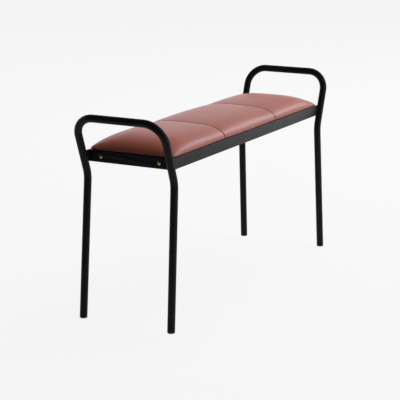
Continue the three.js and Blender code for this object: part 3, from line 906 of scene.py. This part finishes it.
bolt_profile = []
for step in range(1, HEAD_STEPS + 1):
    turn = math.radians(90) * step / HEAD_STEPS
    bolt_profile.append((HEAD_RADIUS * math.sin(turn), -HEAD_HEIGHT * math.cos(turn)))
bolt_profile += [(HEAD_RADIUS - HEAD_CHAMFER, 0), (SHANK_RADIUS, 0)]
height = THREAD_START
while height < BOLT_TIP - THREAD_PITCH:
    bolt_profile.append((SHANK_RADIUS, height))
    bolt_profile.append((SHANK_RADIUS - THREAD_DEPTH, height + THREAD_PITCH / 2))
    height += THREAD_PITCH
bolt_profile += [(SHANK_RADIUS - TIP_CHAMFER, BOLT_TIP), (TIP_CORE, BOLT_TIP)]
bolt = turned((0, 0, 0), (1, 0, 0), bolt_profile, BOLT_SIDES)
start_fresh()
bpy.ops.mesh.primitive_cylinder_add(
    vertices=6,
    radius=SOCKET_FLATS / math.sqrt(3),
    depth=2 * SOCKET_DEPTH,
    location=(-HEAD_HEIGHT, 0, 0),
    rotation=(0, math.radians(90), 0),
)
cut_away(bolt, bpy.context.object)
smooth(bolt, 30)

for end, out, turn in (("left", 1, 0), ("right", -1, math.pi)):
    for side, place in ((FRONT, "front"), (REAR, "rear")):
        here = f"{end}_{place}"
        copy = place_copy(bolt, (out * BOLT_SEAT, side * BOLT_Y, BOLT_Z), turn)
        finish_piece(copy, f"bolt_{here}", BRASS, [f"brass_bolt_{here}"])
        for kind, edge in (("bolt_washer", WASHER_ROUND), ("bolt_nut", NUT_ROUND)):
            plated = copy_of(f"{kind}_{here}")
            apply_modifier(
                plated,
                "BEVEL",
                width=edge,
                segments=2,
                limit_method="ANGLE",
                angle_limit=PLATED_EDGE,
            )
            smooth(plated, 30)
            finish_piece(plated, f"{kind}_{here}_zinc", ZINC, [f"{kind}_{here}"])
bpy.data.objects.remove(bolt)
print("four bolts with washers and nuts made")

# %% [markdown]
# ## The board screws
# Six pan-head screws come up through the flange of the seat frame into the plywood. The
# head is turned in small steps, and a cross recess is cut into it from below.

# %% Board screws
SCREW_HEAD = 4 * MM
SCREW_HEIGHT = 2.4 * MM
SCREW_STEPS = 8
SCREW_RADIUS = 2 * MM
SCREW_NECK = 0.75 * SCREW_RADIUS
SCREW_ROOT = 0.72 * SCREW_RADIUS
SCREW_PITCH = 1.4 * MM
SCREW_FLANK = 0.5 * MM
SCREW_PLAIN = 2.5 * MM  # plain length below the head
SCREW_POINT = 3 * MM  # length of the point
SCREW_CORE = 0.3 * MM  # radius at which the point is closed
SCREW_SIDES = 32
RECESS = (4.2 * MM, 1 * MM, 3 * MM)  # each bar of the cross
RECESS_TURN = 0.4  # each screw of a row stops at a turn of its own
SCREW_X = 320 * MM
SCREW_Y = 116.75 * MM
SCREW_SEAT = 484.7 * MM
SCREW_TIP = 12.4 * MM

screw_profile = []
for step in range(1, SCREW_STEPS + 1):
    turn = math.radians(90) * step / SCREW_STEPS
    # the powers below 1 square the dome up into a pan head
    screw_profile.append((SCREW_HEAD * math.sin(turn) ** 0.7, -SCREW_HEIGHT * math.cos(turn) ** 0.8))
screw_profile.append((SCREW_NECK, 0))
height = SCREW_PLAIN
while height < SCREW_TIP - SCREW_POINT:
    screw_profile.append((SCREW_ROOT, height))
    screw_profile.append((SCREW_RADIUS, height + SCREW_FLANK))
    height += SCREW_PITCH
screw_profile.append((SCREW_CORE, SCREW_TIP))
screw = turned((0, 0, 0), (0, 0, 1), screw_profile, SCREW_SIDES)
for turn in (0, math.radians(90)):
    start_fresh()
    bpy.ops.mesh.primitive_cube_add(size=1, location=(0, 0, -SCREW_HEIGHT), rotation=(0, 0, turn))
    recess = bpy.context.object
    recess.scale = RECESS
    cut_away(screw, recess)
smooth(screw, 30)

for side, place in ((FRONT, "front"), (REAR, "rear")):
    for step, where in ((-1, "left"), (0, "middle"), (1, "right")):
        copy = place_copy(screw, (step * SCREW_X, side * SCREW_Y, SCREW_SEAT), RECESS_TURN + step)
        node = f"board_screw_{place}_{where}"
        finish_piece(copy, f"{node}_zinc", ZINC, [node])
bpy.data.objects.remove(screw)
print("six screws made")

# %% [markdown]
# ## The seat pad
# The pad is foam on a board, under leather drawn tight over it. A fine grid is laid out over
# its plan, with lines that fall on the two seams, and is raised into the crown that was
# measured. Its border is extruded down to the seat frame, where the leather tucks in a
# little, and turned in below as a hem.

# %% Lay out the crown
PAD_BOTTOM = 488.3 * MM
PAD_HALF_LENGTH = 481 * MM
PAD_HALF_DEPTH = 135.5 * MM
PAD_CORNER = 14 * MM
CORNER_FROM = 0.8  # share of the half length from which a corner draws lines in
PAD_EDGE = 4.5 * MM  # upright edge above the seat frame
PAD_CROWN = 39.5 * MM  # middle of a panel above that edge
ACROSS_FLAT, ACROSS_ROLL = 3.3, 0.52  # powers that flatten the crown and round its edge
ALONG_FLAT, ALONG_ROLL = 10.5, 0.68
SEAM_DIP = 4.2 * MM
SEAM_DRAW = 1.2 * MM  # how far a seam draws the long sides in
SEAM_FADE = 60 * MM  # how far along the pad the pull of a seam dies away
SLACK = 0.97  # the crown starts a little low, because the pressure lifts it
END_CELLS = 62  # cells along an end panel, about 5 mm each
MIDDLE_CELLS = 68
LENGTH_CELLS = 2 * END_CELLS + MIDDLE_CELLS
DEPTH_CELLS = 56
CROWDING = 1.5  # how much closer the lines lie towards the long sides
# each step of the border: what is left of the last height, and how far in, in mm
EDGE_STEPS = ((0.62, 0), (0.6, 0.3), (0.45, 0.7), (0.0, 1.5), (1.0, 4.5), (1.0, 7))


def along_seat(share):
    """Where a line of the grid lies along the seat, so that the seams fall on lines."""
    cells = (share + 1) / 2 * LENGTH_CELLS - END_CELLS - MIDDLE_CELLS / 2
    past_seam = abs(cells) - MIDDLE_CELLS / 2
    if past_seam <= 0:
        return cells / (MIDDLE_CELLS / 2) * SEAM_X
    return math.copysign(SEAM_X + past_seam / END_CELLS * (PAD_HALF_LENGTH - SEAM_X), cells)


def across_seat(share):
    """Where a line lies across the seat, as a share; lines crowd towards the edges."""
    return math.copysign(1 - (1 - abs(share)) ** CROWDING, share)


def pad_point(u, v):
    """A point of the leather from its shares of the half length and half depth."""
    past = max(0, abs(v) * PAD_HALF_DEPTH - (PAD_HALF_DEPTH - PAD_CORNER))
    rounding = PAD_CORNER * (1 - math.sqrt(max(0, 1 - (past / PAD_CORNER) ** 2)))
    drawn_in = max(0, abs(u) - CORNER_FROM) / (1 - CORNER_FROM)
    x = u * PAD_HALF_LENGTH - math.copysign(rounding * drawn_in, u)
    pull = math.exp(-abs(abs(x) - SEAM_X) / SEAM_FADE)
    across = max(0, 1 - abs(v) ** ACROSS_FLAT) ** ACROSS_ROLL
    along = max(0, 1 - abs(u) ** ALONG_FLAT) ** ALONG_ROLL
    rise = (PAD_CROWN - SEAM_DIP * pull) * across * along * SLACK
    return (x, v * (PAD_HALF_DEPTH - SEAM_DRAW * pull), PAD_BOTTOM + PAD_EDGE + rise)


start_fresh()
bpy.ops.mesh.primitive_grid_add(x_subdivisions=LENGTH_CELLS, y_subdivisions=DEPTH_CELLS, size=2)
pad = bpy.context.object
for vertex in pad.data.vertices:
    u = along_seat(vertex.co.x) / PAD_HALF_LENGTH
    vertex.co = pad_point(u, across_seat(vertex.co.y))
bpy.ops.object.mode_set(mode="EDIT")
pick(pad, "edges", lambda edge: edge.is_boundary)
for height, inwards in EDGE_STEPS:
    bpy.ops.mesh.extrude_region_move(TRANSFORM_OT_translate={"value": (0, 0, 0)})
    ratios = (1 - inwards * MM / PAD_HALF_LENGTH, 1 - inwards * MM / PAD_HALF_DEPTH, height)
    bpy.ops.transform.resize(value=ratios, center_override=(0, 0, PAD_BOTTOM))
face_outwards()
count = len(pad.data.vertices)
rest = np.empty(count * 3)
pad.data.vertices.foreach_get("co", rest)
rest = rest.reshape(-1, 3)
print("pad", count, "points, from", rest.min(0).round(4), "to", rest.max(0).round(4))

# %% [markdown]
# A short cloth simulation then blows the leather up like a cushion. The hem, the upright edge
# and the two seams are held, so the panels swell between the seams as stuffed leather does.
# The whole swelling is then scaled down until no point has moved further than a set limit,
# which keeps the pad at its measured height.

# %% Hold the seams and the edge, and let the pressure in
EDGE_HELD = 5 * MM  # height above the seat frame that stays put
SEAM_HELD = 1 * MM
PRESSURE = 4
SWELL_LIMIT = 1.5 * MM
SIM_FRAMES = 20

at_seam = np.abs(np.abs(rest[:, 0]) - SEAM_X) < SEAM_HELD
low_down = rest[:, 2] < PAD_BOTTOM + EDGE_HELD
held = pad.vertex_groups.new(name="held")
held.add(np.flatnonzero(low_down | at_seam).tolist(), 1.0, "REPLACE")
only(pad)
cloth = pad.modifiers.new("inflate", "CLOTH")
cloth.settings.use_pressure = True
cloth.settings.uniform_pressure_force = PRESSURE
cloth.settings.effector_weights.gravity = 0
cloth.settings.vertex_group_mass = held.name
cloth.point_cache.frame_start = 1
cloth.point_cache.frame_end = SIM_FRAMES
for number in range(1, SIM_FRAMES + 1):
    scene.frame_set(number)
bpy.ops.object.modifier_apply(modifier=cloth.name)
scene.frame_set(1)
blown = np.empty(count * 3)
pad.data.vertices.foreach_get("co", blown)
blown = blown.reshape(-1, 3)
moved = blown - rest
reach = np.linalg.norm(moved, axis=1)
moved *= SWELL_LIMIT / max(reach.max(), SWELL_LIMIT)
pad.data.vertices.foreach_set("co", (rest + moved).ravel())
pad.data.update()
pad.vertex_groups.clear()
print("swelled by up to", round(reach.max() / MM, 2), "mm, kept to", SWELL_LIMIT / MM, "mm")

# %% [markdown]
# The foam is that same form, smaller by the thickness of the hide, with a groove under each
# seam, and cut off level at the top of the board. The board itself is plain, so it stays the
# measured solid and only gets its material.

# %% Foam block
HIDE = 1.5 * MM
HIDE_AND_AIR = 1.8 * MM  # the foam stays this far inside the leather's skin
FOAM_GROOVE = 3.5 * MM  # the foam gives way below a seam
FOAM_BOTTOM = 499.4 * MM  # just above the board

foam_block = place_copy(pad)
bpy.ops.object.mode_set(mode="EDIT")
pick(foam_block, "edges", lambda edge: edge.is_boundary)
bpy.ops.mesh.edge_face_add()
bpy.ops.mesh.select_all(action="SELECT")
bpy.ops.transform.shrink_fatten(value=-HIDE_AND_AIR)
pick(foam_block, "verts", lambda vert: abs(abs(vert.co.x) - SEAM_X) < SEAM_HELD)
bpy.ops.transform.shrink_fatten(value=-FOAM_GROOVE)
bpy.ops.mesh.select_all(action="SELECT")
bpy.ops.mesh.bisect(
    plane_co=(0, 0, FOAM_BOTTOM), plane_no=(0, 0, 1), use_fill=True, clear_inner=True, threshold=EXACT
)
bpy.ops.object.mode_set(mode="OBJECT")
smooth(foam_block, 50)
finish_piece(foam_block, "foam_block", FOAM, ["seat_foam"])
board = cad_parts["seat_board"]
board.data.materials.clear()
board.data.materials.append(PLYWOOD)
print("foam top", round(max(v.co.z for v in foam_block.data.vertices) / MM, 1), "mm")

# %% [markdown]
# The leather is made finer by one subdivision and cut across at the seams into three
# panels. At a seam both edges turn down into the pad, so the seam shows as a fine dark line
# in a soft dip, and the material paints shade into that line as well. Solidify then gives
# the hide its thickness.

# %% Cut the panels and turn their edges in
SEAM_GAP = 0.05 * MM  # from the middle of a seam to the edge of a panel
SEAM_CUTS = (0.5, 1.0, 1.7, 2.6, 4.0)  # extra cuts beside a seam, in mm
SEAM_TURN = 2.0 * MM  # how deep the edges turn in
SEAM_REACH = 1.6 * MM  # how far from a seam the turn fades out

apply_modifier(pad, "SUBSURF", levels=1, render_levels=1)
bpy.ops.object.mode_set(mode="EDIT")
for seam in (-SEAM_X, SEAM_X):
    for cut in SEAM_CUTS:
        for away in (-cut * MM, cut * MM):
            bpy.ops.mesh.select_all(action="SELECT")
            bpy.ops.mesh.bisect(plane_co=(seam + away, 0, 0), plane_no=(1, 0, 0), threshold=EXACT)
bpy.ops.object.mode_set(mode="OBJECT")


def leather_panel(name, low, high):
    """The stretch of the cover between two places along the seat."""
    panel = place_copy(pad)
    bpy.ops.object.mode_set(mode="EDIT")
    for place, way in ((low, 1), (high, -1)):
        if place is not None:
            bpy.ops.mesh.select_all(action="SELECT")
            bpy.ops.mesh.bisect(
                plane_co=(place, 0, 0), plane_no=(way, 0, 0), clear_inner=True, threshold=EXACT
            )
    bpy.ops.object.mode_set(mode="OBJECT")
    outward = [vertex.normal.copy() for vertex in panel.data.vertices]
    for vertex, normal in zip(panel.data.vertices, outward):
        gap = abs(abs(vertex.co.x) - SEAM_X)
        normal.x = 0
        if normal.z > 0:
            vertex.co -= normal * SEAM_TURN * math.exp(-((gap / SEAM_REACH) ** 2))
    apply_modifier(panel, "SOLIDIFY", thickness=HIDE, offset=-1)
    smooth(panel, 60)
    finish_piece(panel, f"leather_{name}", LEATHER, [f"cover_panel_{name}"])
    print(panel.name, len(panel.data.polygons), "faces")


leather_panel("left", None, -SEAM_X - SEAM_GAP)
leather_panel("middle", -SEAM_X + SEAM_GAP, SEAM_X - SEAM_GAP)
leather_panel("right", SEAM_X + SEAM_GAP, None)
bpy.data.objects.remove(pad)

# %% [markdown]
# ## The dust cover
# A sheet of black non-woven cloth closes the underside of the board, inside the flanges of
# the seat frame, and is stapled along its edges. It is stretched, with a slight slackness
# between the staples, so a grid is added at its size and eased down by a fraction of a
# millimetre here and there.

# %% Dust cover and staples
CLOTH_LENGTH = 909.2 * MM
CLOTH_WIDTH = 222.8 * MM
CLOTH_TOP = 489.8 * MM
CLOTH_THICK = 0.5 * MM
CLOTH_CELLS = (150, 40)
CLOTH_SLACK = 0.5 * MM
EVEN_SAG, WAVY_SAG, STAPLE_SAG = 0.6, 0.4, 1.2  # in parts of the slack
WAVES = (17, 9)  # radians per metre along and across
FLAT_BORDER = 12 * MM  # the sag grows over this width from the edge
STAPLE_FADE = 30 * MM  # how far in the pull of the staples dies away
STAPLE_WIDE = 10 * MM
STAPLE_WIRE = 0.9 * MM
STAPLE_HEIGHT = 0.7 * STAPLE_WIRE
STAPLE_SUNK = 0.3 * STAPLE_WIRE  # from the cloth to the middle of the wire
STAPLE_ROUND = 0.25 * MM
STAPLE_INSET = 7 * MM
STAPLE_STEP = 98 * MM

start_fresh()
bpy.ops.mesh.primitive_grid_add(
    x_subdivisions=CLOTH_CELLS[0], y_subdivisions=CLOTH_CELLS[1], size=1, location=(0, 0, CLOTH_TOP)
)
dust_cloth = bpy.context.object
dust_cloth.scale = (CLOTH_LENGTH, CLOTH_WIDTH, 1)
bpy.ops.object.transform_apply()
for vertex in dust_cloth.data.vertices:
    x, y = vertex.co.x, vertex.co.y
    from_edge = min(CLOTH_LENGTH / 2 - abs(x), CLOTH_WIDTH / 2 - abs(y))
    ease = min(1, max(0, from_edge / FLAT_BORDER))
    between = 0.5 - 0.5 * math.cos(2 * math.pi * x / STAPLE_STEP)
    near_edge = math.exp(-from_edge / STAPLE_FADE)
    wave = math.sin(WAVES[0] * x + WAVES[1] * y)
    sag = EVEN_SAG + WAVY_SAG * wave + STAPLE_SAG * between * near_edge
    vertex.co.z -= CLOTH_SLACK * ease * sag
apply_modifier(dust_cloth, "SOLIDIFY", thickness=CLOTH_THICK, offset=-1)
smooth(dust_cloth, 50)
finish_piece(dust_cloth, "dust_cloth", CLOTH, ["dust_cover"])


def staple(spot, turn):
    """The crown of one staple, a flat bar with rounded edges; its legs are in the board."""
    start_fresh()
    bpy.ops.mesh.primitive_cube_add(size=1, location=spot, rotation=(0, 0, turn))
    wire = bpy.context.object
    wire.scale = (STAPLE_WIDE, STAPLE_WIRE, STAPLE_HEIGHT)
    bpy.ops.object.transform_apply()
    edit_all()
    bpy.ops.mesh.bevel(offset=STAPLE_ROUND, segments=2, affect="EDGES")
    bpy.ops.object.mode_set(mode="OBJECT")
    return wire


staples = []
staple_x = CLOTH_LENGTH / 2 - STAPLE_INSET
staple_y = CLOTH_WIDTH / 2 - STAPLE_INSET
staple_z = CLOTH_TOP - CLOTH_THICK - STAPLE_SUNK
for side in (FRONT, REAR):
    for step in range(-4, 5):
        staples.append(staple((step * STAPLE_STEP, side * staple_y, staple_z), 0))
for end in (-1, 1):
    for step in (-0.5, 0.5):
        staples.append(staple((end * staple_x, step * STAPLE_STEP, staple_z), math.radians(90)))
start_fresh()
for wire in staples:
    wire.select_set(True)
bpy.context.view_layer.objects.active = staples[0]
bpy.ops.object.join()
staple_row = bpy.context.object
smooth(staple_row, 40)
finish_piece(staple_row, "dust_cloth_staples", ZINC)
print("dust cloth with", len(staples), "staples")
